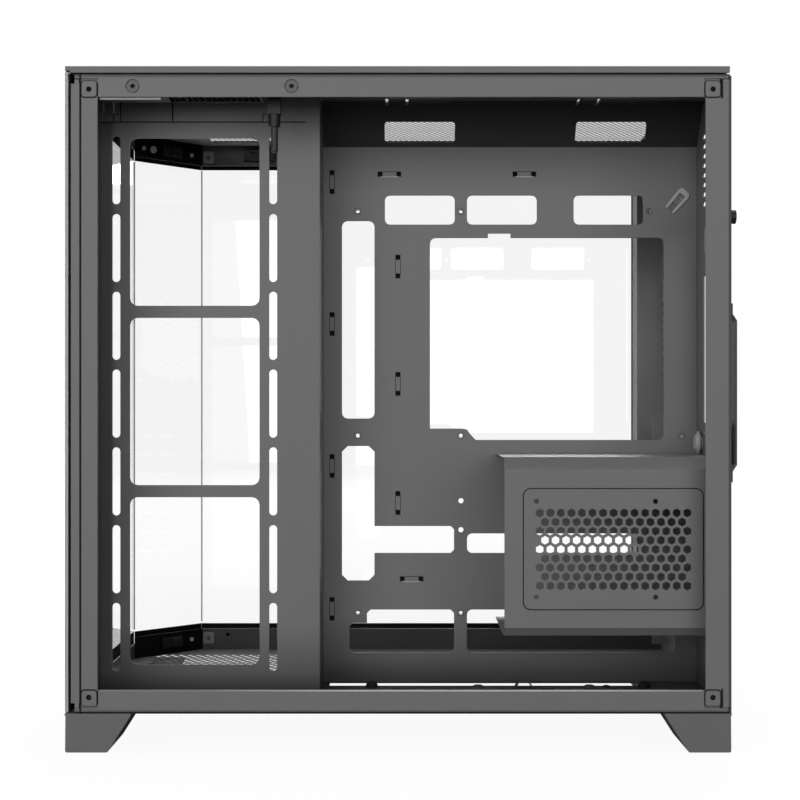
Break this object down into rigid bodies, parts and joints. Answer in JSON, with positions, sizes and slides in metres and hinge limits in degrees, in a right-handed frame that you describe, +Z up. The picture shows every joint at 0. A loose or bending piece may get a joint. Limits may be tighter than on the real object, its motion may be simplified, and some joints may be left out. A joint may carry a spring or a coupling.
{
  "type": "computer case",
  "caption": "Upright steel computer case with a glass front, corner and side, shown from its open cable side with tray, fan bracket, drive bracket and four raked feet",
  "frame": {"origin": "bottom centre of the box round the whole case, on the surface it stands on", "axes": "+X to the rear end with the board ports, +Y from the open right side to the left glass, +Z up"},
  "size_m": [0.4246, 0.278, 0.4337],
  "materials": {
    "steel": "fine semi-gloss powder coat, dark grey",
    "dark_steel": "fine semi-gloss powder coat, darker grey",
    "black": "matte black powder coat",
    "cover": "fine semi-gloss powder coat",
    "glass": "polished tempered glass with a printed black border",
    "black_plastic": "fine matte moulding",
    "circuit_board": "dark lacquered board",
    "button": "satin moulding",
    "bare_steel": "plated sheet shell",
    "cable": "smooth cable jacket, cut square",
    "foot_plastic": "fine matte moulding",
    "rubber": "soft foot pad",
    "screw_black": "black plated, slightly glossy",
    "brass_like": "zinc plated",
    "pale_plastic": "pale moulding"
  },
  "bodies": {
    "chassis": {"floor_pan": "steel", "top_sheet": "steel", "rear_panel": "steel", "front_wall": "steel", "front_trim": "steel", "motherboard_tray": "steel", "fan_bracket": "steel", "drive_bracket": "steel", "io_rail": "steel", "left_top_rail": "dark_steel", "left_bottom_rail": "dark_steel", "corner_top_rail": "black", "corner_bottom_rail": "black", "front_top_rail": "dark_steel", "front_bottom_rail": "dark_steel", "front_glass": "glass", "corner_glass": "glass", "side_glass": "glass", "top_cover": "cover", "io_housing": "black_plastic", "io_board": "circuit_board", "button_switches": "black_plastic", "usb_port_1": "bare_steel", "usb_port_2": "bare_steel", "usb_c_port": "bare_steel", "audio_jack": "black_plastic", "lead_boot": "black_plastic", "lead_stub": "cable", "foot_front_right": "foot_plastic", "foot_rear_right": "foot_plastic", "foot_front_left": "foot_plastic", "foot_rear_left": "foot_plastic", "pad_front_right": "rubber", "pad_rear_right": "rubber", "pad_front_left": "rubber", "pad_rear_left": "rubber", "slot_cover_1": "steel", "slot_cover_2": "steel", "slot_cover_3": "steel", "slot_cover_4": "steel", "slot_cover_5": "steel", "slot_cover_6": "steel", "slot_cover_7": "steel", "slot_screws": "screw_black", "standoffs": "brass_like", "tray_screws": "screw_black", "rear_thumbscrew": "screw_black", "panel_sockets": "screw_black", "panel_clips": "black_plastic", "corner_pegs": "pale_plastic", "cable_clip": "pale_plastic", "psu_pad": "pale_plastic", "rear_strap": "steel", "rail_brackets": "steel", "corner_latches": "black_plastic", "cable_arch": "steel", "top_fan_bracket": "steel", "cover_rim": "black_plastic"},
    "power_button": {"power_button": "button"},
    "reset_button": {"reset_button": "button"}
  },
  "joints": [
    {"name": "power_press", "type": "slide", "parent": "chassis", "child": "power_button", "axis": [0, 0, -1], "range_m": [0, 0.0015], "stiffness_N_per_m": 500, "springref_m": -0.001},
    {"name": "reset_press", "type": "slide", "parent": "chassis", "child": "reset_button", "axis": [0, 0, -1], "range_m": [0, 0.001], "stiffness_N_per_m": 500, "springref_m": -0.001}
  ]
}
